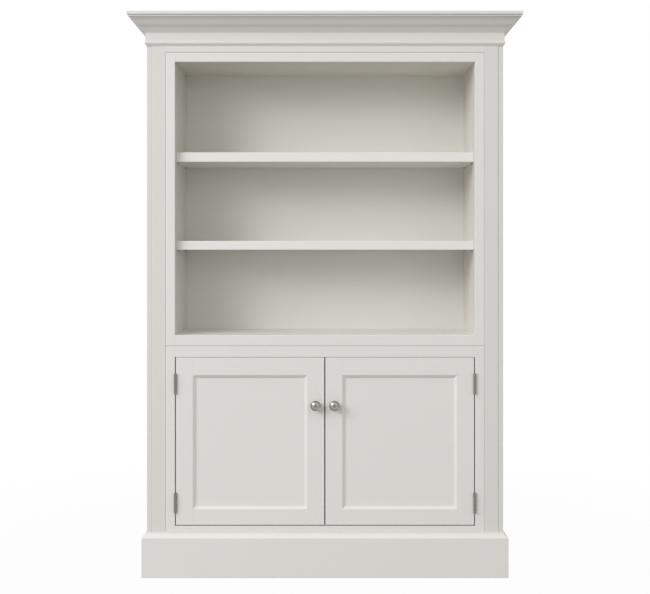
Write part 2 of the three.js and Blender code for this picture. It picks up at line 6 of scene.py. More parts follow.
import bpy
import math
import numpy as np
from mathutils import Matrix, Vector


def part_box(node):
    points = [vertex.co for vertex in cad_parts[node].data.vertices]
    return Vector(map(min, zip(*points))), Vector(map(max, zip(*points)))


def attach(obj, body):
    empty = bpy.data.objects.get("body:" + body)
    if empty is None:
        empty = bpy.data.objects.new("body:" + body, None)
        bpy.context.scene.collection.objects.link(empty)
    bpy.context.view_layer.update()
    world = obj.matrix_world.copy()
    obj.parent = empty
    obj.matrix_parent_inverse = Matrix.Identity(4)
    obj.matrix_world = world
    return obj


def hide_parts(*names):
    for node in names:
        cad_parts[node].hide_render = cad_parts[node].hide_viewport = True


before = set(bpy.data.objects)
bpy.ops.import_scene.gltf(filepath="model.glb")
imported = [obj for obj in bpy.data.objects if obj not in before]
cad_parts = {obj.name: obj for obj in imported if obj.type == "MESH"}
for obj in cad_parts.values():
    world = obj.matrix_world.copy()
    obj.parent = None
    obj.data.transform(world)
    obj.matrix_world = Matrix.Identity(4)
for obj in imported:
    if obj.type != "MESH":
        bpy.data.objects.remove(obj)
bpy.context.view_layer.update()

MM = 0.001
METRE = 1000.0
SIDES = (("left", -1.0), ("right", 1.0))

# The case as the solids have it
FACE = -157.9  # y of the front of the face frames
FRAME_DEPTH = 22.0
OPENING_HALF = 560.0
PILASTER_HALF = 647.0
BODY_HALF = 665.0
BODY_DEPTH = 380.0
BODY_HEIGHT = 2100.0
CARCASS_BOARD = 18.0
KNOB_X, KNOB_Z, KNOB_RADIUS = 35.0, 641.2, 19.0

# The camera looks level from 4.4 m in front of the face, a little above the middle of the piece.
EYE_HEIGHT = 1216.0
EYE_DISTANCE = 4400.0
LENS, SENSOR = 65.3, 36.0
PICTURE_WIDTH, SHIFT_PIXELS = 650, -46
CLIP_END = 200.0

camera = bpy.data.objects.new("camera", bpy.data.cameras.new("camera"))
camera.location = (0.0, (FACE - EYE_DISTANCE) * MM, EYE_HEIGHT * MM)
camera.rotation_euler = (math.radians(90), 0.0, 0.0)
camera.data.lens = LENS
camera.data.sensor_width = SENSOR
camera.data.shift_y = SHIFT_PIXELS / PICTURE_WIDTH
camera.data.clip_end = CLIP_END
bpy.context.scene.collection.objects.link(camera)
bpy.context.scene.camera = camera


# Colours and finishes

BRUSH_MARK, BRUSH_STROKE = 5.0, 300.0
TONE_DRIFT = 0.972  # the deepest drift of a coat, as a share of its linear tone
PINE_RING, PINE_FIGURE = 12.0, 420.0
# Where a knob's painted reflection is dark in the middle, turns lighter in a ring and is dark again at the
# rim, as radii
REFLECTION_DARK_TO, REFLECTION_LIGHT_FROM, REFLECTION_LIGHT_TO, REFLECTION_DARK_FROM = 3.5, 6.5, 12.5, 17.5


def colour(hex_code):
    """An sRGB hex colour as linear red, green, blue and alpha 1."""
    parts = np.array([int(hex_code[i : i + 2], 16) for i in (1, 3, 5)]) / 255
    linear = np.where(parts <= 0.04045, parts / 12.92, ((parts + 0.055) / 1.055) ** 2.4)
    return (*linear.tolist(), 1.0)


def add(tree, kind, links=(), **settings):
    """Adds one node: settings are its properties or its input values, links are (input, output socket)."""
    made = tree.nodes.new(kind)
    for key, value in settings.items():
        if hasattr(made, key):
            setattr(made, key, value)
        else:
            made.inputs[key.replace("_", " ")].default_value = value
    for socket, source in links:
        tree.links.new(made.inputs[socket], source)
    return made


def blank(name):
    """A material with an empty node tree and its output node."""
    material = bpy.data.materials.new(name)
    material.use_nodes = True
    tree = material.node_tree
    tree.nodes.clear()
    return material, tree, tree.nodes.new("ShaderNodeOutputMaterial")


def stretched(grain, across, lengthways):
    """A pattern's scale on each axis, in repeats per metre, from its size in millimetres along the grain and
    across it."""
    scale = [METRE / across] * 3
    scale["xyz".index(grain)] = METRE / lengthways
    return scale


def brushed_paint(name, grain, tone="#e6e4de"):
    """Eggshell furniture paint laid on with a brush along the grain: a low sheen that the bristle marks
    break up.

    The marks of a fine brush, about 0.5 mm apart, are too fine to show here and are drawn 5 mm apart and
    300 mm long. The tone drifts by about one part in a hundred over half a metre."""
    material, tree, output = blank(name)
    place = add(tree, "ShaderNodeTexCoord")
    strokes = add(
        tree,
        "ShaderNodeMapping",
        [("Vector", place.outputs["Object"])],
        Scale=stretched(grain, BRUSH_MARK, BRUSH_STROKE),
    )
    marks = add(
        tree,
        "ShaderNodeTexNoise",
        [("Vector", strokes.outputs[0])],
        Scale=1.0,
        Detail=3.0,
        Roughness=0.6,
    )
    drift = add(tree, "ShaderNodeTexNoise", [("Vector", place.outputs["Object"])], Scale=2.2, Detail=2.0)
    tint = add(
        tree,
        "ShaderNodeMixRGB",
        [("Fac", drift.outputs["Fac"])],
        Color1=colour(tone),
        Color2=(*(c * TONE_DRIFT for c in colour(tone)[:3]), 1.0),
    )
    sheen = add(tree, "ShaderNodeMapRange", [("Value", marks.outputs["Fac"])], To_Min=0.40, To_Max=0.54)
    relief = add(
        tree,
        "ShaderNodeBump",
        [("Height", marks.outputs["Fac"])],
        Strength=0.22,
        Distance=0.18 * MM,
    )
    surface = add(
        tree,
        "ShaderNodeBsdfPrincipled",
        [("Base Color", tint.outputs[0]), ("Roughness", sheen.outputs[0]), ("Normal", relief.outputs[0])],
        IOR=1.46,
    )
    tree.links.new(output.inputs[0], surface.outputs[0])
    return material


def satin_metal(name, tone, roughness, grit=0.6, painted_reflection=None):
    """Nickel plated or cast and polished metal, left satin: highlights are soft at their edges.

    The polishing scratches of about 0.05 mm are drawn as a roughness that wanders over grit millimetres.
    The last argument, when given, is (x, z, tone): round the axis through (x, z) the colour is painted dark
    in the middle and at the rim and lighter, in the second tone, in a ring between them, as a painted
    reflection of a dark room in the dome."""
    material, tree, output = blank(name)
    place = add(tree, "ShaderNodeTexCoord")
    scuff = add(
        tree,
        "ShaderNodeTexNoise",
        [("Vector", place.outputs["Object"])],
        Scale=METRE / grit,
        Detail=2.0,
    )
    sheen = add(
        tree,
        "ShaderNodeMapRange",
        [("Value", scuff.outputs["Fac"])],
        To_Min=roughness - 0.05,
        To_Max=roughness + 0.07,
    )
    relief = add(tree, "ShaderNodeBump", [("Height", scuff.outputs["Fac"])], Strength=0.08, Distance=0.1 * MM)
    surface = add(
        tree,
        "ShaderNodeBsdfPrincipled",
        [("Roughness", sheen.outputs[0]), ("Normal", relief.outputs[0])],
        Base_Color=colour(tone),
        Metallic=1.0,
    )
    if painted_reflection:
        x, z, reflection_ring_tone = painted_reflection
        centred = add(
            tree,
            "ShaderNodeMapping",
            [("Vector", place.outputs["Object"])],
            Scale=(1.0, 0.0, 1.0),
            Location=(-x * MM, 0.0, -z * MM),
        )
        radius = add(tree, "ShaderNodeVectorMath", [(0, centred.outputs[0])], operation="LENGTH")
        share = add(
            tree,
            "ShaderNodeMapRange",
            [("Value", radius.outputs["Value"])],
            From_Max=KNOB_RADIUS * MM,
        )
        tint = add(tree, "ShaderNodeValToRGB", [("Fac", share.outputs[0])])
        stops = tint.color_ramp.elements
        for stop, reach in zip(stops, (REFLECTION_DARK_TO, REFLECTION_DARK_FROM)):
            stop.position = reach / KNOB_RADIUS
            stop.color = colour(tone)
        for reach in (REFLECTION_LIGHT_FROM, REFLECTION_LIGHT_TO):
            stops.new(reach / KNOB_RADIUS).color = colour(reflection_ring_tone)
        tree.links.new(surface.inputs["Base Color"], tint.outputs[0])
    tree.links.new(output.inputs[0], surface.outputs[0])
    return material


def planed_pine(name, grain):
    """Softwood planed and left bare: pale yellow early wood with darker late wood every 12 mm or so, drawn
    out along the grain."""
    material, tree, output = blank(name)
    place = add(tree, "ShaderNodeTexCoord")
    rings = add(
        tree,
        "ShaderNodeMapping",
        [("Vector", place.outputs["Object"])],
        Scale=stretched(grain, PINE_RING, PINE_FIGURE),
    )
    figure = add(
        tree,
        "ShaderNodeTexNoise",
        [("Vector", rings.outputs[0])],
        Scale=1.0,
        Detail=4.0,
        Distortion=0.6,
    )
    ramp = add(tree, "ShaderNodeValToRGB", [("Fac", figure.outputs["Fac"])])
    for stop, share, tone in zip(ramp.color_ramp.elements, (0.36, 0.62), ("#c39a63", "#e2c496")):
        stop.position = share
        stop.color = colour(tone)
    relief = add(
        tree,
        "ShaderNodeBump",
        [("Height", figure.outputs["Fac"])],
        Strength=0.15,
        Distance=0.3 * MM,
    )
    surface = add(
        tree,
        "ShaderNodeBsdfPrincipled",
        [("Base Color", ramp.outputs[0]), ("Normal", relief.outputs[0])],
        Roughness=0.62,
    )
    tree.links.new(output.inputs[0], surface.outputs[0])
    return material


def moulded_plastic(name, tone, grain=0.4):
    """Injection moulded ABS with a fine spark-eroded grain, in millimetres, and a dull, even sheen."""
    material, tree, output = blank(name)
    place = add(tree, "ShaderNodeTexCoord")
    grit = add(
        tree,
        "ShaderNodeTexNoise",
        [("Vector", place.outputs["Object"])],
        Scale=METRE / grain,
        Detail=1.0,
    )
    relief = add(tree, "ShaderNodeBump", [("Height", grit.outputs["Fac"])], Strength=0.2, Distance=0.1 * MM)
    surface = add(
        tree,
        "ShaderNodeBsdfPrincipled",
        [("Normal", relief.outputs[0])],
        Base_Color=colour(tone),
        Roughness=0.5,
        IOR=1.53,
    )
    tree.links.new(output.inputs[0], surface.outputs[0])
    return material


paint = {grain: brushed_paint(f"eggshell_paint_brushed_along_{grain}", grain) for grain in "xyz"}
# The carcass boards inside, the tall surround, the fascia and the cornice take darker copies of the one
# paint, as painted shade where less light reaches them; the shelves and the open unit's floor take lighter
# copies, as painted light on their lit faces.
shaded_carcass_paint = {
    "x": brushed_paint("eggshell_paint_carcass_painted_shade_along_x", "x", "#e0dcd2"),
    "z": brushed_paint("eggshell_paint_carcass_painted_shade_along_z", "z", "#e2dfd8"),
}
shaded_surround_paint = brushed_paint("eggshell_paint_surround_painted_shade_along_z", "z", "#dedcd6")
shaded_cornice_paint = {
    grain: brushed_paint(f"eggshell_paint_cornice_along_{grain}", grain, "#e2e0da") for grain in "xy"
}
# Lighter copies of the paint: painted light on the shelves and on the open unit's floor.
lit_shelf_paint = brushed_paint("eggshell_paint_shelves_painted_light_along_x", "x", "#eceae4")
lit_book_floor_paint = brushed_paint("eggshell_paint_book_floor_painted_light_along_x", "x", "#f1efe9")
nickel = satin_metal("satin_nickel_hinge", "#848179", 0.42)
pewter = {}
# Each knob's colour is a painted reflection: dark in the middle and at the rim, lighter in a ring between,
# for the dark room mirrored in its dome.
for word, side in SIDES:
    knob_reflection_ring = (side * KNOB_X, KNOB_Z, "#9d9a92")
    pewter[word] = satin_metal(f"relieved_pewter_knob_{word}", "#76736d", 0.32, painted_reflection=knob_reflection_ring)
zinc = satin_metal("zinc_plated_steel", "#b9bbbc", 0.36)
# Dark steel on the screws' crosses: painted shade standing in for the sunk slots.
slot_painted_shade = satin_metal("painted_shade_in_screw_slots", "#3a3a39", 0.5)
pine = planed_pine("planed_pine", "y")
catch_plastic = moulded_plastic("abs_catch_housing", "#d9d7d0")


# Making surfaces

ARRIS = 0.5  # arris of a board where nothing else is said
END_EASE = 0.4  # easing of a board's front end edges
BOARD_STEPS, MOULDING_STEPS, BLOCK_STEPS = 6, 4, 3  # steps of the arc that rounds an arris
CREASE = 38.0  # degrees past which an edge stays sharp
CORE = 0.02  # radius at which a turned piece closes on its axis
SAME_DIGITS = 5  # points alike to this many digits of a millimetre are one point


def skin(rings):
    """A closed shell through rings of equally many points: quads between neighbours, and one flat face over
    each end.

    The sign of its volume, which goes as the sum of a . (b x c) over its triangles, tells whether the faces
    must be turned outwards."""
    points = np.stack([np.asarray(ring, dtype=float) for ring in rings])
    count, around = points.shape[:2]
    index = np.arange(count * around).reshape(count, around)
    low, high = index[:-1], index[1:]
    quads = np.stack([low, np.roll(low, -1, 1), np.roll(high, -1, 1), high], -1).reshape(-1, 4)
    points = points.reshape(-1, 3)
    ends = [index[0, ::-1], index[-1]]
    triangles = [quads[:, (0, 1, 2)], quads[:, (0, 2, 3)]]
    for end in ends:
        triangles.append(np.stack([np.full(around - 2, end[0]), end[1:-1], end[2:]], -1))
    a, b, c = (points[np.concatenate(triangles)[:, k]] for k in range(3))
    volume = np.einsum("ij,ij->", a - points[0], np.cross(b - points[0], c - points[0]))
    # Points that fall together become one, and a face that this leaves without area goes.
    _, kept, same = np.unique(points.round(SAME_DIGITS), axis=0, return_index=True, return_inverse=True)
    same = same.reshape(-1)
    faces = [*same[quads].tolist(), *(same[end].tolist() for end in ends)]
    faces = [list(dict.fromkeys(face)) for face in faces]
    faces = [face if volume > 0 else face[::-1] for face in faces if len(face) > 2]
    return points[kept], faces


def piece(name, shells, finish, body="cabinet", node=None):
    """One finished piece from closed shells: smooth but for edges sharper than CREASE degrees, with each
    corner's normal taken from its widest faces, so that flats stay flat beside their rounded arrises."""
    points, faces, base = [], [], 0
    for shell_points, shell_faces in shells:
        points.append(shell_points)
        faces += [[i + base for i in face] for face in shell_faces]
        base += len(shell_points)
    mesh = bpy.data.meshes.new(name)
    mesh.from_pydata((np.concatenate(points) * MM).tolist(), [], faces)
    mesh.polygons.foreach_set("use_smooth", np.ones(len(mesh.polygons), dtype=bool))
    mesh.set_sharp_from_angle(angle=math.radians(CREASE))
    mesh.materials.append(finish)
    obj = bpy.data.objects.new(name, mesh)
    bpy.context.scene.collection.objects.link(obj)
    weighted = obj.modifiers.new("flat_faces_lead", "WEIGHTED_NORMAL")
    weighted.keep_sharp = True
    weighted.weight = 90
    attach(obj, body)
    if node:
        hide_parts(node)
    return obj


def rounded(corners, steps):
    """An outline through corners (u, v, radius), each turned by an arc of its radius.

    The arc's centre lies on the corner's bisector, radius / sin(half angle) away, and it starts and ends
    radius / tan(half angle) from the corner. A corner of radius 0 stays one point."""
    at = np.array([corner[:2] for corner in corners], dtype=float)
    radii = np.array([corner[2] for corner in corners], dtype=float)[:, None]
    back = np.roll(at, 1, 0) - at
    ahead = np.roll(at, -1, 0) - at
    back /= np.linalg.norm(back, axis=1, keepdims=True)
    ahead /= np.linalg.norm(ahead, axis=1, keepdims=True)
    half = np.arccos(np.clip((back * ahead).sum(1, keepdims=True), -1, 1)) / 2
    bisector = back + ahead
    bisector /= np.maximum(np.linalg.norm(bisector, axis=1, keepdims=True), 1e-9)
    centre = at + bisector * radii / np.sin(half)
    start = at + back * radii / np.tan(half) - centre
    finish = at + ahead * radii / np.tan(half) - centre
    turn = np.arctan2(start[:, 0] * finish[:, 1] - start[:, 1] * finish[:, 0], (start * finish).sum(1))
    angle = turn[:, None] * np.linspace(0, 1, steps + 1)[None, :]
    x, y = start[:, :1], start[:, 1:]
    swept = np.stack([x * np.cos(angle) - y * np.sin(angle), x * np.sin(angle) + y * np.cos(angle)], -1)
    outline = (centre[:, None, :] + swept).reshape(-1, 2)
    return outline[np.linalg.norm(outline - np.roll(outline, 1, 0), axis=1) > 1e-6]


def with_radii(section, radii, steps=BOARD_STEPS):
    """An outline through a section's corners (u, v), with a radius for each."""
    return rounded([(u, v, radius) for (u, v), radius in zip(section, radii)], steps)


def along(axis, outline, station):
    """The outline's points at one station of an axis: (u, v) are (y, z) along x, (x, z) along y and (x, y)
    along z."""
    u, v = outline[:, 0], outline[:, 1]
    w = np.broadcast_to(np.asarray(station, dtype=float), u.shape)
    order = {"x": (w, u, v), "y": (u, w, v), "z": (u, v, w)}[axis]
    return np.stack(order, -1)


def length_of(axis, outline, start, end):
    """A straight length of the outline along an axis. Start and end are a station, or one for each point."""
    return skin([along(axis, outline, start), along(axis, outline, end)])


def eased_end(axis, outline, end, inwards, ease, steps=5):
    """Rings that round off the front edge of a board's end: a quarter circle of radius ease, along which the
    front is set back by ease (1 - sin a) at ease (1 - cos a) from the end."""
    depth = 0 if axis == "x" else 1
    rings = []
    for a in np.linspace(0, math.pi / 2, steps):
        ring = outline.copy()
        ring[:, depth] = np.maximum(ring[:, depth], outline[:, depth].min() + ease * (1 - math.sin(a)))
        rings.append(along(axis, ring, end + inwards * ease * (1 - math.cos(a))))
    return rings


def eased_length(axis, outline, start, end, ease):
    """A length of the outline along an axis, with the front edges of both ends eased."""
    return skin(eased_end(axis, outline, start, 1, ease) + eased_end(axis, outline, end, -1, ease)[::-1])


def box_of(node):
    """A node's lowest and highest corner in millimetres."""
    low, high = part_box(node)
    return np.array(low) / MM, np.array(high) / MM


def section_of(low, high, axis):
    """The four corners of a box's section across an axis, anticlockwise from its lowest."""
    u, v = {"x": (1, 2), "y": (0, 2), "z": (0, 1)}[axis]
    return [(low[u], low[v]), (high[u], low[v]), (high[u], high[v]), (low[u], high[v])]


def board(node, axis, radii=(ARRIS,) * 4, ease=END_EASE, body="cabinet", finish=None, planed=0.0, fuller=0.0):
    """A board that fills a node's box but for what is planed off its top or left on below, with a radius for
    each long arris and its two front end edges eased."""
    low, high = box_of(node)
    high[2] -= planed
    low[2] -= fuller
    outline = with_radii(section_of(low, high, axis), radii)
    k = "xyz".index(axis)
    shell = eased_length(axis, outline, low[k], high[k], ease)
    return piece(f"{node}_finished", [shell], finish or paint[axis], body, node)


# Carcass, backs and shelves

FLUSH = 0.02  # a joint that filler and paint hide
CRISP = 0.35
COVER_ARRIS = 0.8
SHELF_NOSE = 2.6
SLIGHT_NOSE = 2.0  # under the upper shelf's front, and on the cupboard's shelf
SHELF_END = 0.8
UPPER_SHELF_FULLER = 2.0  # the upper shelf shows this much thicker than the lower one

for word, side in SIDES:
    for level in ("upper", "lower"):
        node = f"{level}_side_{word}"
        low, high = box_of(node)
        low[0], high[0] = sorted((side * OPENING_HALF, side * (OPENING_HALF + CARCASS_BOARD)))
        outline = with_radii(section_of(low, high, "z"), (CRISP,) * 4)
        shell = length_of("z", outline, low[2], high[2])
        piece(f"{node}_finished", [shell], shaded_carcass_paint["z"], node=node)

board("upper_bottom_board", "x", finish=lit_book_floor_paint)
for node in ("upper_top_board", "lower_bottom_board", "lower_top_board"):
    board(node, "x", finish=shaded_carcass_paint["x"])
for node in ("upper_back_panel", "lower_back_panel"):
    board(node, "z")
board("top_cover", "x", (COVER_ARRIS, ARRIS, ARRIS, COVER_ARRIS))
upper_noses = (SLIGHT_NOSE, ARRIS, ARRIS, SHELF_NOSE)
board("shelf_upper", "x", upper_noses, SHELF_END, finish=lit_shelf_paint, fuller=UPPER_SHELF_FULLER)
board("shelf_lower", "x", (SHELF_NOSE, ARRIS, ARRIS, SHELF_NOSE), SHELF_END, finish=lit_shelf_paint)
board("cupboard_shelf", "x", (SLIGHT_NOSE, ARRIS, ARRIS, SLIGHT_NOSE), SHELF_END)

for word, side in SIDES:
    for level in ("upper", "lower"):
        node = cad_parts[f"{level}_spacer_{word}"]
        for holder in node.material_slots:
            holder.material = pine


# Turned pieces, small blocks and screws

HEAD_SUNK, HEAD_CHAMFER, HEAD_RIM = 1.0, 0.3, 0.1
SLOT_HALF = 0.3  # half of the thickness of a driving slot's bar, most of which is sunk
SLOT_EDGE = 0.1


def turned(profile, centre, axis, around):
    """A profile of (radius, distance) turned about a line through centre along an axis: 'x', 'y' or 'z' with
    a sign. Point k of ring j lies at radius_j (cos t_k, sin t_k) and distance_j along the line."""
    profile = np.asarray(profile, dtype=float)
    angle = np.linspace(0, 2 * math.pi, around, endpoint=False)
    radius = np.maximum(profile[:, :1], CORE)
    first, second = radius * np.cos(angle), radius * np.sin(angle)
    reach = np.broadcast_to(profile[:, 1:] * (1 if axis[0] == "+" else -1), first.shape)
    order = {"x": (reach, first, second), "y": (first, reach, second), "z": (first, second, reach)}[axis[1]]
    return skin(list(np.stack(order, -1) + np.asarray(centre, dtype=float)))


def arc(centre, radii, start, finish, steps):
    """Points (radius, distance) of an elliptic arc round centre, from start to finish in degrees."""
    t = np.radians(np.linspace(start, finish, steps))
    return np.stack([centre[0] + radii[0] * np.cos(t), centre[1] + radii[1] * np.sin(t)], -1)


def screw_head(x, y, z, axis, radius, proud=0.15):
    """A countersunk head, let in but for its slightly domed top, with a rim chamfer."""
    dome = arc((0, 0), (radius - HEAD_CHAMFER, proud), 0, 90, 6)
    profile = [(CORE, -HEAD_SUNK), (radius, -HEAD_SUNK), (radius, -HEAD_RIM), *dome]
    return turned(profile, (x, y, z), axis, 24)


def rounded_box(low, high, axis, radius):
    """A small block carried along an axis, with rounded long arrises and square ends."""
    outline = with_radii(section_of(low, high, axis), (radius,) * 4, BLOCK_STEPS)
    k = "xyz".index(axis)
    return length_of(axis, outline, low[k], high[k])


def cross_slots(x, y, z, axis, length=3.4, width=0.7, top=0.17):
    """The driving cross of a screw: two thin bars just level with its head, which stand in for the sunk slots
    and are drawn dark as painted shade.
    """
    k = "xyz".index(axis[1])
    middle = np.array([x, y, z], dtype=float)
    middle[k] += (top - SLOT_HALF) * (1 if axis[0] == "+" else -1)
    bars = []
    for across, upright in ((length / 2, width / 2), (width / 2, length / 2)):
        half = np.insert([across, upright], k, SLOT_HALF)
        bars.append(rounded_box(middle - half, middle + half, "z", SLOT_EDGE))
    return bars


# The carcass sides carry the shelves on short collared pins.
PIN_REACH, PIN_RADIUS, PIN_TIP, PIN_SUNK = 8.6, 2.5, 0.8, 1.0
COLLAR_RADIUS, COLLAR_EDGE, COLLAR_FOOT = 3.2, 1.2, 1.4
PIN_DROP = 3.8  # how far under a shelf the middle of its pins lies
PIN_FRONTS = {"shelf_lower": 82.0, "shelf_upper": 82.0, "cupboard_shelf": 140.0}
PIN_REAR = 310.8

for word, side in SIDES:
    shells = []
    axis = "-x" if side > 0 else "+x"
    profile = [(CORE, -PIN_SUNK), (COLLAR_RADIUS, -PIN_SUNK), (COLLAR_RADIUS, COLLAR_EDGE)]
    profile += [(PIN_RADIUS, COLLAR_FOOT)]
    profile += arc((PIN_RADIUS - PIN_TIP, PIN_REACH - PIN_TIP), (PIN_TIP, PIN_TIP), 0, 90, 5).tolist()
    for node, front in PIN_FRONTS.items():
        under = box_of(node)[0][2] - (UPPER_SHELF_FULLER if node == "shelf_upper" else 0.0)
        for y in (FACE + front, FACE + PIN_REAR):
            shells.append(turned(profile, (side * OPENING_HALF, y, under - PIN_DROP), axis, 20))
    piece(f"shelf_pins_{word}", shells, zinc)


# Surround: end panels, pilasters and fascia

SEAM = 2.4  # eased edge between a pilaster and what stands beside it
JOINT = 3.2  # eased edge where two frames meet
PANEL_GAP = 0.2
PANEL_SET_BACK = 2.0
REBATE_WIDTH, REBATE_Y = 8.0, 360.8  # a panel is rebated behind for the back
PANEL_ARRISES = (1.2, 1.4, 1.0, 0.5, 0.2, 0.3)


def end_panel(word, side):
    """An end panel that stands a little behind the pilaster's face. Its outline (distance from the middle, y)
    starts beside the pilaster, and its rear inner corner is the rebate."""
    node = f"end_panel_{word}"
    low, high = box_of(node)
    inner, stepped = PILASTER_HALF + PANEL_GAP, PILASTER_HALF + REBATE_WIDTH
    front, rear = FACE + PANEL_SET_BACK, FACE + BODY_DEPTH
    corners = [(inner, front), (BODY_HALF, front), (BODY_HALF, rear)]
    corners += [(stepped, rear), (stepped, FACE + REBATE_Y), (inner, FACE + REBATE_Y)]
    outline = with_radii([(side * u, v) for u, v in corners], PANEL_ARRISES)
    piece(f"{node}_finished", [length_of("z", outline, low[2], high[2])], shaded_surround_paint, node=node)


def pilaster(word, side):
    """A pilaster: eased along the end panel and along the frames, and filled flush where the fascia butts
    against it."""
    node = f"pilaster_{word}"
    low, high = box_of(node)
    section = section_of(low, high, "z")
    fascia_foot = box_of("top_fascia")[0][2]
    beside_fascia = (SEAM, FLUSH) if side < 0 else (FLUSH, SEAM)
    eased = with_radii(section, (SEAM, SEAM, CRISP, CRISP))
    filled = with_radii(section, (*beside_fascia, CRISP, CRISP))
    rings = [along("z", eased, low[2]), along("z", eased, fascia_foot)]
    rings += [along("z", filled, fascia_foot + SEAM), along("z", filled, high[2])]
    piece(f"{node}_finished", [skin(rings)], shaded_surround_paint, node=node)


for word, side in SIDES:
    end_panel(word, side)
    pilaster(word, side)
board("top_fascia", "x", (JOINT, CRISP, CRISP, CRISP), FLUSH, finish=shaded_cornice_paint["x"])


# Face frames

SOFT = 1.8  # arris of the openings, rubbed down by hand
SILL = 3.6  # front arris of the open unit's floor
RAIL_END = 0.05
RAIL_PLANED = 1.5
HINGE_X, HINGE_Y = 558.25, -5.5  # the middle of the hinges' barrels, from the middle and from FACE
HINGE_LENGTH = 76.0
HOUSING, HOUSING_PLAY = 2.6, 0.3  # how far past the barrel a hinge is let into its stile, and its play

BOOK_FLOOR = box_of("upper_frame_rail_bottom")[1][2]
BOOK_HEAD = box_of("upper_frame_rail_top")[0][2]
CUPBOARD_FLOOR = box_of("lower_frame_rail_bottom")[1][2] - RAIL_PLANED
CUPBOARD_HEAD = box_of("lower_frame_rail_top")[0][2]


def frame_stile(node, side, floor, head, ease_at_foot, hinge_feet=()):
    """A frame stile: its inner front arris is rubbed soft between the opening's floor and head and left crisp
    where the rails butt against it, and its ends are eased. It has a housing for each hinge, by the height of
    the hinge's foot."""
    low, high = box_of(node)
    section = section_of(low, high, "z")
    soft = with_radii(section, (*((SEAM, SOFT) if side < 0 else (SOFT, SEAM)), CRISP, CRISP))
    crisp = with_radii(section, (*((SEAM, CRISP) if side < 0 else (CRISP, SEAM)), CRISP, CRISP))
    housed = soft.copy()
    clip = np.maximum if side > 0 else np.minimum
    housed[:, 0] = clip(housed[:, 0], side * (HINGE_X + HOUSING))
    rings = eased_end("z", crisp, low[2], 1, ease_at_foot)
    rings += [along("z", crisp, floor), along("z", soft, floor + SOFT)]
    for foot in hinge_feet:
        bottom, top = foot - HOUSING_PLAY, foot + HINGE_LENGTH + HOUSING_PLAY
        rings += [along("z", soft, bottom), along("z", housed, bottom)]
        rings += [along("z", housed, top), along("z", soft, top)]
    rings += [along("z", soft, head - SOFT), along("z", crisp, head)]
    rings += eased_end("z", crisp, high[2], -1, JOINT)[::-1]
    return piece(f"{node}_finished", [skin(rings)], paint["z"], node=node)


for word, side in SIDES:
    frame_stile(f"upper_frame_stile_{word}", side, BOOK_FLOOR, BOOK_HEAD, JOINT)
board("upper_frame_rail_bottom", "x", (JOINT, CRISP, CRISP, SILL), RAIL_END)
board("upper_frame_rail_top", "x", (SOFT, CRISP, CRISP, JOINT), RAIL_END)
board("lower_frame_rail_top", "x", (SOFT, CRISP, CRISP, JOINT), RAIL_END)
board("lower_frame_rail_bottom", "x", (JOINT, CRISP, CRISP, SOFT), RAIL_END, planed=RAIL_PLANED)


# Cornice and plinth

# How far each member of the cornice stands out, and how far below the top edge it starts or ends
FILLET_OUT, FILLET_FOOT = 64.0, 11.9
QUIRK_OUT, QUIRK_FOOT = 56.0, 14.1
SMALL_FILLET_OUT, SMALL_FILLET_FOOT = 60.9, 18.2
UPPER_OGEE_OUT, UPPER_OGEE_HEAD = 57.5, 18.6
UPPER_OGEE_IN, UPPER_OGEE_FOOT = 30.0, 45.5
LOWER_OGEE_OUT, LOWER_OGEE_IN, LOWER_OGEE_FOOT = 28.8, 7.0, 68.0
FRIEZE_OUT, FRIEZE_FOOT = 4.5, 101.0
LIP_OUT, LIP_HEAD, LIP_FOOT, CORNICE_FOOT = 7.4, 105.0, 110.0, 119.0

PLINTH_OUT, PLINTH_BOARD_HEAD, PLINTH_HEAD = 17.2, 147.5, 170.0
COVE_IN, COVE_RISE, COVE_POWER = 0.8, 15.0, 1.5
COVE_STEPS, COVE_CHAMFERED = 17, 4  # a chamfer stands for the cove's first steps
PLINTH_FOOT_ARRIS, PLINTH_HEAD_ARRIS = 1.0, 1.5

KEEN, FINE, SLIGHT, DULL, EASED, WORN = 0.2, 0.3, 0.4, 0.5, 0.6, 0.9  # arrises of the mouldings
FRIEZE_HOLLOW, LIP_ROUND = 1.5, 2.0
MOULDING_SEAT = 0.2  # a moulding stands this clear of the case


def ogee(head_out, foot_out, head, foot, bend, hollow, steps=20):
    """Corners (projection, fall) of a shallow ogee without its last one. At a share t of its fall it has come
    in by the share t + bend sin(2 pi t) / 2 pi + hollow sin(pi t) / pi. Bend makes both ends slope flatter
    than the middle, and hollow makes the head flatter and the foot steeper."""
    share = np.linspace(0, 1, steps, endpoint=False)
    bent = bend * np.sin(2 * math.pi * share) / (2 * math.pi)
    inward = share + bent + hollow * np.sin(math.pi * share) / math.pi
    out, fall = head_out - (head_out - foot_out) * inward, head + (foot - head) * share
    return [(u, v, 0.0) for u, v in zip(out.tolist(), fall.tolist())]


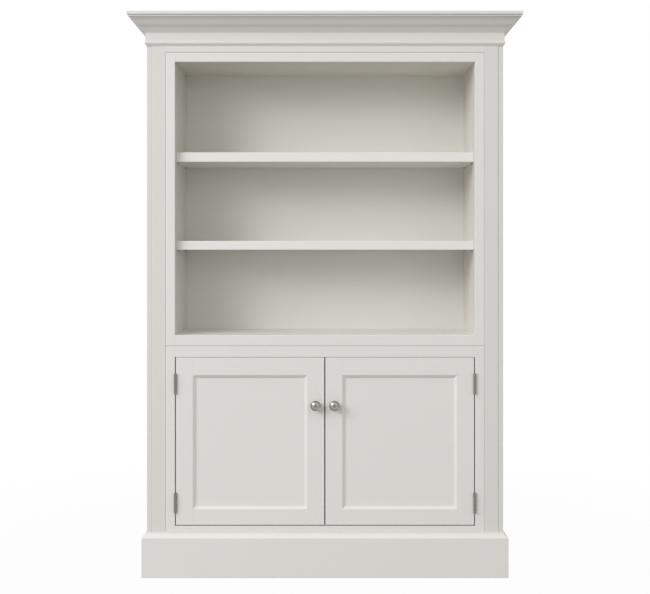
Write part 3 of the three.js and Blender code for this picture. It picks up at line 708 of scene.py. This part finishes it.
def cornice_outline():
    """Outline (projection, height) from the top edge down: fillet, a quirk, a narrow second fillet, two
    shallow ogees, the flat frieze and a sloping lip at its foot."""
    corners = [(0.0, 0.0, FINE), (FILLET_OUT, 0.0, WORN), (FILLET_OUT, FILLET_FOOT, DULL)]
    corners += [(QUIRK_OUT, FILLET_FOOT, KEEN), (QUIRK_OUT, QUIRK_FOOT, KEEN)]
    corners += [(SMALL_FILLET_OUT, QUIRK_FOOT, FINE), (SMALL_FILLET_OUT, SMALL_FILLET_FOOT, EASED)]
    corners += ogee(UPPER_OGEE_OUT, UPPER_OGEE_IN, UPPER_OGEE_HEAD, UPPER_OGEE_FOOT, bend=0.2, hollow=0.28)
    corners += [(UPPER_OGEE_IN, UPPER_OGEE_FOOT, EASED)]
    corners += ogee(LOWER_OGEE_OUT, LOWER_OGEE_IN, UPPER_OGEE_FOOT, LOWER_OGEE_FOOT, bend=0.1, hollow=0.3)
    corners += [(LOWER_OGEE_IN, LOWER_OGEE_FOOT, SLIGHT), (FRIEZE_OUT, LOWER_OGEE_FOOT, FINE)]
    corners += [(FRIEZE_OUT, FRIEZE_FOOT, FRIEZE_HOLLOW), (LIP_OUT, LIP_HEAD, LIP_ROUND)]
    corners += [(LIP_OUT, LIP_FOOT, LIP_ROUND), (0.0, CORNICE_FOOT, 0.0)]
    return rounded([(out, BODY_HEIGHT - fall, radius) for out, fall, radius in corners], MOULDING_STEPS)


def plinth_outline():
    """Outline (projection, height): a flat board whose top runs back to the frames in a cove that ends
    upright. At a share t of its rise the cove stands out by COVE_IN and, of the rest, by the share 1 - t to
    the power COVE_POWER."""
    corners = [(0.0, 0.0, FINE), (PLINTH_OUT, 0.0, PLINTH_FOOT_ARRIS)]
    corners += [(PLINTH_OUT, PLINTH_BOARD_HEAD, PLINTH_HEAD_ARRIS)]
    share = np.arange(COVE_CHAMFERED, COVE_STEPS + 1) / COVE_STEPS
    out = COVE_IN + (PLINTH_OUT - COVE_IN) * (1 - share) ** COVE_POWER
    height = PLINTH_BOARD_HEAD + COVE_RISE * share
    corners += [(u, v, 0.0) for u, v in zip(out.tolist(), height.tolist())]
    corners += [(COVE_IN, PLINTH_HEAD, 0.0), (0.0, PLINTH_HEAD, 0.0)]
    return rounded(corners, MOULDING_STEPS)


def moulding(stem, outline, finish):
    """The outline carried along the front and both sides. At the two front corners each length ends at its
    own projection, so that the pieces meet in a mitre of 45 degrees."""
    projection, height = outline[:, 0], outline[:, 1]
    reach = BODY_HALF + projection
    across = np.stack([FACE - MOULDING_SEAT - projection, height], -1)
    shell = length_of("x", across, -reach, reach)
    piece(f"{stem}_front_finished", [shell], finish["x"], node=f"{stem}_front")
    for word, side in SIDES:
        node = f"{stem}_return_{word}"
        sideways = np.stack([side * (reach + MOULDING_SEAT), height], -1)
        shell = length_of("y", sideways, FACE + MOULDING_SEAT - projection, FACE + BODY_DEPTH)
        piece(f"{node}_finished", [shell], finish["y"], node=node)


moulding("cornice", cornice_outline(), shaded_cornice_paint)
moulding("plinth", plinth_outline(), paint)


# Doors

STILE_FLAT, TOP_RAIL_FLAT, FOOT_RAIL_FLAT = 63.3, 65.8, 58.3
BEVEL_WIDTH, BEVEL_DEPTH, BEVEL_QUIRK, BEVEL_BACK = 10.5, 8.0, 1.2, 14.0
HEAD_TRIM, FOOT_TRIM = 0.5, 1.1  # how far a door is taken up and down towards its frame
MEETING_SHIFT = 0.6  # the gap between the doors lies this far left of the middle
DOOR_ARRIS = 1.2
RAIL_SCRIBE = 0.1

# The knob, from the door outwards: a rose, a hollow neck, and a flaring head with a bead, a groove and a dome
ROSE_RADIUS, ROSE_CHAMFER, ROSE_HEIGHT = 10.0, 0.4, 3.0
ROSE_ROUND = (1.0, 1.2)
NECK_RADIUS, NECK_REACH = 6.2, 9.5
FLARE_RADIUS, FLARE_RISE, FLARE_END = 16.8, 5.6, 94
BEAD_HALF, BEAD_SUNK, BEAD_START, BEAD_END = 1.8, 0.9, -85, 95
GROOVE = ((16.4, 1.45), (15.9, 1.0))  # radius, and how far before the bead's middle
CAP_RADIUS, CAP_SPHERE = 15.6, 29.0  # the dome is a cap of a sphere

STRIKE_CORNER, STRIKE_SCREW = 1.5, 2.6


def bevel_strip(axis, flat, towards, start, end):
    """The sloping moulding from a member's flat towards the panel. Its outline is (across, depth), and its
    ends run in with the distance across, so that four strips meet in mitres."""
    corners = [(0.0, 0.0, 0.0), (BEVEL_WIDTH, BEVEL_DEPTH, DULL)]
    corners += [(BEVEL_WIDTH, BEVEL_DEPTH + BEVEL_QUIRK, 0.0), (0.0, BEVEL_BACK, 0.0)]
    across, depth = rounded(corners, BLOCK_STEPS).T
    place = (flat + towards * across, FACE + depth)
    outline = np.stack(place if axis == "z" else place[::-1], -1)
    return length_of(axis, outline, start + across, end - across)


def knob(word, body):
    """A turned pewter knob. The dome's rise over its radius r is R - the root of (R squared - r squared)."""
    low, high = box_of(f"{body}_knob")
    centre = (low[0] + high[0]) / 2, high[1], (low[2] + high[2]) / 2
    reach = high[1] - low[1]
    shoulder = ROSE_RADIUS - ROSE_ROUND[0]
    hollow = (shoulder - NECK_RADIUS, NECK_REACH - ROSE_HEIGHT)
    flare = (FLARE_RADIUS - NECK_RADIUS, FLARE_RISE)
    bead = reach - (CAP_SPHERE - math.sqrt(CAP_SPHERE**2 - CAP_RADIUS**2)) - BEAD_SUNK
    widest = math.degrees(math.acos(CAP_RADIUS / CAP_SPHERE))
    profile = [
        (CORE, 0.0),
        (ROSE_RADIUS - ROSE_CHAMFER, 0.0),
        (ROSE_RADIUS, ROSE_CHAMFER),
        *arc((shoulder, ROSE_HEIGHT - ROSE_ROUND[1]), ROSE_ROUND, 0, 90, 6),
        *arc((shoulder, NECK_REACH), hollow, 270, 180, 8),
        *arc((FLARE_RADIUS, NECK_REACH), flare, 180, FLARE_END, 10),
        *arc((KNOB_RADIUS - BEAD_HALF, bead), (BEAD_HALF, BEAD_HALF), BEAD_START, BEAD_END, 16),
        *((radius, bead + before) for radius, before in GROOVE),
        *arc((0.0, reach - CAP_SPHERE), (CAP_SPHERE, CAP_SPHERE), widest, 90, 26),
    ]
    shell = turned(profile, centre, "-y", 72)
    piece(f"{body}_knob_finished", [shell], pewter[word], body, f"{body}_knob")


def strike(body):
    """The catch's strike plate on the back of a door, held by one screw."""
    node = f"{body}_strike"
    low, high = box_of(node)
    x, _, z = (low + high) / 2
    shells = [rounded_box(low, high, "y", STRIKE_CORNER), screw_head(x, high[1], z, "+y", STRIKE_SCREW)]
    piece(f"{node}_finished", shells, zinc, body, node)


def door(word, side):
    """A framed door: hinge and meeting stiles run through, the rails are scribed between them, and a flat
    panel lies behind the bevel. Names and places come from the nodes that the pieces stand for."""
    body = f"door_{word}"
    hinge_low, hinge_high = box_of(f"{body}_stile_hinge")
    meeting_low, meeting_high = box_of(f"{body}_stile_meeting")
    foot, head = hinge_low[2] - FOOT_TRIM, hinge_high[2] + HEAD_TRIM
    outer, closing = (hinge_low[0], meeting_high[0]) if side < 0 else (hinge_high[0], meeting_low[0])
    closing -= MEETING_SHIFT
    outer_flat, closing_flat = outer - side * STILE_FLAT, closing + side * STILE_FLAT
    left_flat, right_flat = sorted((outer_flat, closing_flat))
    top_flat, foot_flat = head - TOP_RAIL_FLAT, foot + FOOT_RAIL_FLAT
    rear = FACE + FRAME_DEPTH

    def member(name, axis, edge, flat):
        """A stile (along z) or a rail (along x), from its edge to the end of its flat, and its bevel."""
        low, high = sorted((edge, flat))
        first, last = (DOOR_ARRIS, CRISP) if edge < flat else (CRISP, DOOR_ARRIS)
        if axis == "z":
            section = [(low, FACE), (high, FACE), (high, rear), (low, rear)]
            start, end = foot_flat, top_flat
            outline = with_radii(section, (first, last, ARRIS, ARRIS))
            shell = eased_length("z", outline, foot, head, DOOR_ARRIS)
        else:
            section = [(FACE, low), (rear, low), (rear, high), (FACE, high)]
            start, end = left_flat, right_flat
            outline = with_radii(section, (first, ARRIS, ARRIS, last))
            shell = length_of("x", outline, start + RAIL_SCRIBE, end - RAIL_SCRIBE)
        strip = bevel_strip(axis, flat, 1.0 if flat > edge else -1.0, start, end)
        piece(f"{body}_{name}_finished", [shell, strip], paint[axis], body, f"{body}_{name}")

    member("stile_hinge", "z", outer, outer_flat)
    member("stile_meeting", "z", closing, closing_flat)
    member("rail_top", "x", head, top_flat)
    member("rail_bottom", "x", foot, foot_flat)
    board(f"{body}_panel", "z", body=body)
    knob(word, body)
    strike(body)


# Butt hinges

KNUCKLES = 5
BARREL, KNUCKLE_EDGE = 5.0, 0.7
KNUCKLE_PLAY = 0.45  # half of the gap between two knuckles, in which the pin shows
BARE_PIN, PIN_SHOWN = 2.6, 0.2  # radius of the pin between two knuckles, and half of what shows of it
TIP_RADIUS, TIP_NECK, TIP_DOME_START = 3.2, 0.4, 0.5
TIP_DOME = (3.0, 1.7)
LEAF_NEAR, LEAF_FAR = 0.3, 2.3  # the two faces of a leaf, from the middle of the barrel
PLATE_START, PLATE_END, PLATE_TRIM, PLATE_CORNER = 3.6, 23.0, 0.2, 2.5
BARREL_CLEAR = 0.4
TAB_START, TAB_END, TAB_PLAY = 2.0, 6.0, 0.3  # the leaf's tabs that run into the knuckles
HINGE_SCREW = 3.4
HINGE_SCREWS = ((0.17, 11.5), (0.5, 17.0), (0.83, 11.5))  # share of the length, distance behind the barrel


def hinge_leaf(node, body, towards, foot, side, keeps_pin):
    """One leaf of a butt hinge: a plate let into the timber, its share of the knuckles with rounded ends and
    three countersunk screws. The frame's leaf also has the pin, which shows between the knuckles, and its two
    button tips."""
    x, y = side * HINGE_X, FACE + HINGE_Y
    head = foot + HINGE_LENGTH
    pitch = HINGE_LENGTH / KNUCKLES
    near = x + towards * LEAF_NEAR
    low_x, high_x = sorted((near, x + towards * LEAF_FAR))
    plate_low = (low_x, y + PLATE_START, foot + PLATE_TRIM)
    plate_high = (high_x, y + PLATE_END, head - PLATE_TRIM)
    plate = with_radii(section_of(plate_low, plate_high, "x"), (KEEN, PLATE_CORNER, PLATE_CORNER, KEEN))
    # The plate stops short of the other leaf's knuckles.
    plate[:, 0] = np.maximum(plate[:, 0], y + BARREL + BARREL_CLEAR)
    shells = [length_of("x", plate, low_x, high_x)]
    for i in range(0 if keeps_pin else 1, KNUCKLES, 2):
        bottom, top = foot + i * pitch, foot + (i + 1) * pitch
        tab_low = (low_x, y + TAB_START, bottom + TAB_PLAY)
        tab_high = (high_x, y + TAB_END, top - TAB_PLAY)
        shells.append(rounded_box(tab_low, tab_high, "z", KEEN))
        edge, inside = (KNUCKLE_EDGE, KNUCKLE_EDGE), BARREL - KNUCKLE_EDGE
        span = top - bottom - 2 * KNUCKLE_PLAY
        profile = [(CORE, 0.0), *arc((inside, KNUCKLE_EDGE), edge, -90, 0, 5)]
        profile += [*arc((inside, span - KNUCKLE_EDGE), edge, 0, 90, 5), (CORE, span)]
        shells.append(turned(profile, (x, y, bottom + KNUCKLE_PLAY), "+z", 40))
    if keeps_pin:
        bare = [(CORE, -PIN_SHOWN), (BARE_PIN, -PIN_SHOWN), (BARE_PIN, PIN_SHOWN), (CORE, PIN_SHOWN)]
        for i in range(1, KNUCKLES):
            shells.append(turned(bare, (x, y, foot + i * pitch), "+z", 24))
        tip = [(CORE, 0.0), (TIP_RADIUS, 0.0), (TIP_RADIUS, TIP_NECK)]
        tip += arc((0.0, TIP_DOME_START), TIP_DOME, 0, 90, 8).tolist()
        for base, axis in ((foot + KNUCKLE_PLAY, "-z"), (head - KNUCKLE_PLAY, "+z")):
            shells.append(turned(tip, (x, y, base), axis, 32))
    bars = []
    axis = "+x" if towards < 0 else "-x"
    for share, behind in HINGE_SCREWS:
        z = foot + HINGE_LENGTH * share
        shells.append(screw_head(near, y + behind, z, axis, HINGE_SCREW))
        bars += cross_slots(near, y + behind, z, axis)
    piece(f"{node}_finished", shells, nickel, body, node)
    piece(f"{node}_screw_slots", bars, slot_painted_shade, body)


for word, side in SIDES:
    door(word, side)
    for level in ("top", "bottom"):
        foot = box_of(f"door_{word}_hinge_leaf_{level}")[0][2]
        hinge_leaf(f"door_{word}_hinge_leaf_{level}", f"door_{word}", -side, foot, side, False)
        hinge_leaf(f"frame_hinge_leaf_{level}_{word}", "cabinet", side, foot, side, True)

# The lower frame's stiles are cut away for the hinges in shallow housings.
for word, side in SIDES:
    feet = sorted(box_of(f"door_{word}_hinge_leaf_{level}")[0][2] for level in ("top", "bottom"))
    frame_stile(f"lower_frame_stile_{word}", side, CUPBOARD_FLOOR, CUPBOARD_HEAD, FINE, feet)


# Magnetic catch and the screws of the backs

CATCH_EDGE = 1.5
POLE_X, POLE_HALF, POLE_HEIGHTS, POLE_HALF_THICK = 19.0, 10.0, (4.0, 9.0), 1.0
POLE_PROUD, POLE_SUNK, POLE_EDGE = 0.15, 3.0, 0.2
BACK_SCREW_IN, BACK_SCREW_UP = 18.0, 30.0  # from a back's edges to its screws
BACK_SCREW_ROWS = {"upper_back_panel": 6, "lower_back_panel": 4}
BACK_SCREW_COLUMNS = 6
BACK_SCREW, BACK_SCREW_PROUD = 3.8, 0.3
BACK_CROSS, BACK_CROSS_WIDTH, BACK_CROSS_TOP = 3.8, 0.8, 0.32

low, high = box_of("magnetic_catch")
housing = rounded_box(low, high, "x", CATCH_EDGE)
piece("magnetic_catch_finished", [housing], catch_plastic, node="magnetic_catch")
poles = []
for x in (-POLE_X, POLE_X):
    for z in (low[2] + height for height in POLE_HEIGHTS):
        pole_low = (x - POLE_HALF, low[1] - POLE_PROUD, z - POLE_HALF_THICK)
        pole_high = (x + POLE_HALF, low[1] + POLE_SUNK, z + POLE_HALF_THICK)
        poles.append(rounded_box(pole_low, pole_high, "x", POLE_EDGE))
piece("magnetic_catch_poles", poles, zinc)

heads, crosses = [], []
for node, row_count in BACK_SCREW_ROWS.items():
    low, high = box_of(node)
    rows = np.linspace(low[2] + BACK_SCREW_UP, high[2] - BACK_SCREW_UP, row_count)
    columns = np.linspace(low[0] + BACK_SCREW_IN, high[0] - BACK_SCREW_IN, BACK_SCREW_COLUMNS)
    places = [(x, z) for z in rows for x in (columns[0], columns[-1])]
    places += [(x, z) for x in columns[1:-1] for z in (rows[0], rows[-1])]
    for x, z in places:
        heads.append(screw_head(x, high[1], z, "+y", BACK_SCREW, BACK_SCREW_PROUD))
        crosses += cross_slots(x, high[1], z, "+y", BACK_CROSS, BACK_CROSS_WIDTH, BACK_CROSS_TOP)
piece("back_panel_screws", heads, zinc)
piece("back_panel_screw_slots", crosses, slot_painted_shade)


# Floor and light

FLOOR_COLOUR = "#a1a09e"
FLOOR_REACH, FLOOR_DROP = 60.0, 0.0005
NEARLY_WHITE = 0.97
WHITENS_FROM, WHITE_FROM = 0.7, 3.0
WHITE = (1.0, 1.0, 1.0, 1.0)
SURROUND_LEVEL = 0.72
MIDDLE = Vector((0.0, -0.1, 1.0))
DAYLIGHT = (0.955, 0.967, 1.0)


def looked_at(tree):
    """The output that is 1 on rays from the camera, from a glossy surface or through a clear one, else 0."""
    path = add(tree, "ShaderNodeLightPath")
    seen = add(
        tree,
        "ShaderNodeMath",
        [(0, path.outputs["Is Camera Ray"]), (1, path.outputs["Is Glossy Ray"])],
        operation="MAXIMUM",
    )
    also = add(
        tree,
        "ShaderNodeMath",
        [(0, seen.outputs[0]), (1, path.outputs["Is Transmission Ray"])],
        operation="MAXIMUM",
    )
    return also.outputs[0]


def floor():
    """A matt grey card under the object. The camera and mirror-like surfaces see it nearly white, and wholly
    white from 3 m outwards, so that it keeps the object's soft shadow and shows no horizon."""
    material, tree, output = blank("matt_studio_floor")
    place = add(tree, "ShaderNodeTexCoord")
    distance = add(tree, "ShaderNodeVectorMath", [(0, place.outputs["Object"])], operation="LENGTH")
    fade = add(
        tree,
        "ShaderNodeMapRange",
        [("Value", distance.outputs["Value"])],
        interpolation_type="SMOOTHSTEP",
        From_Min=WHITENS_FROM,
        From_Max=WHITE_FROM,
        To_Min=NEARLY_WHITE,
        To_Max=1.0,
    )
    share = add(
        tree,
        "ShaderNodeMath",
        [(0, looked_at(tree)), (1, fade.outputs[0])],
        operation="MULTIPLY",
    )
    matt = add(tree, "ShaderNodeBsdfDiffuse", Color=colour(FLOOR_COLOUR))
    white = add(tree, "ShaderNodeEmission", Color=WHITE, Strength=1.0)
    mix = add(
        tree,
        "ShaderNodeMixShader",
        [(0, share.outputs[0]), (1, matt.outputs[0]), (2, white.outputs[0])],
    )
    tree.links.new(output.inputs[0], mix.outputs[0])
    mesh = bpy.data.meshes.new("studio_floor")
    corners = [(x * FLOOR_REACH, y * FLOOR_REACH, 0.0) for x, y in ((-1, -1), (1, -1), (1, 1), (-1, 1))]
    mesh.from_pydata(corners, [], [(0, 1, 2, 3)])
    mesh.materials.append(material)
    obj = bpy.data.objects.new("studio_floor", mesh)
    bpy.context.scene.collection.objects.link(obj)
    obj.location.z = -FLOOR_DROP


def softbox(name, place, width, height, power):
    """A rectangular lamp of cool daylight at place, in metres, turned to the middle of the object."""
    lamp = bpy.data.lights.new(name, "AREA")
    lamp.shape = "RECTANGLE"
    lamp.size, lamp.size_y, lamp.energy = width, height, power
    lamp.color = DAYLIGHT
    obj = bpy.data.objects.new(name, lamp)
    obj.location = place
    obj.rotation_euler = (MIDDLE - Vector(place)).to_track_quat("-Z", "Y").to_euler()
    bpy.context.scene.collection.objects.link(obj)


def surroundings(level):
    """Even light of one level from all sides, which the camera, metal and glass see as plain white."""
    world = bpy.data.worlds.new("studio")
    world.use_nodes = True
    tree = world.node_tree
    tree.nodes.clear()
    strength = add(tree, "ShaderNodeMapRange", [("Value", looked_at(tree))], To_Min=level, To_Max=1.0)
    glow = add(tree, "ShaderNodeBackground", [("Strength", strength.outputs[0])], Color=WHITE)
    output = tree.nodes.new("ShaderNodeOutputWorld")
    tree.links.new(output.inputs[0], glow.outputs[0])
    bpy.context.scene.world = world


floor()
surroundings(SURROUND_LEVEL)
softbox("window_high_left", place=(-8.8, -7.5, 6.9), width=7.0, height=6.0, power=650.0)
softbox("window_front_left", place=(-5.5, -8.0, 4.5), width=4.0, height=3.0, power=149.0)
softbox("fill_right", place=(5.0, -9.0, 3.0), width=4.0, height=3.0, power=35.0)

bpy.context.scene.view_settings.view_transform = "Standard"
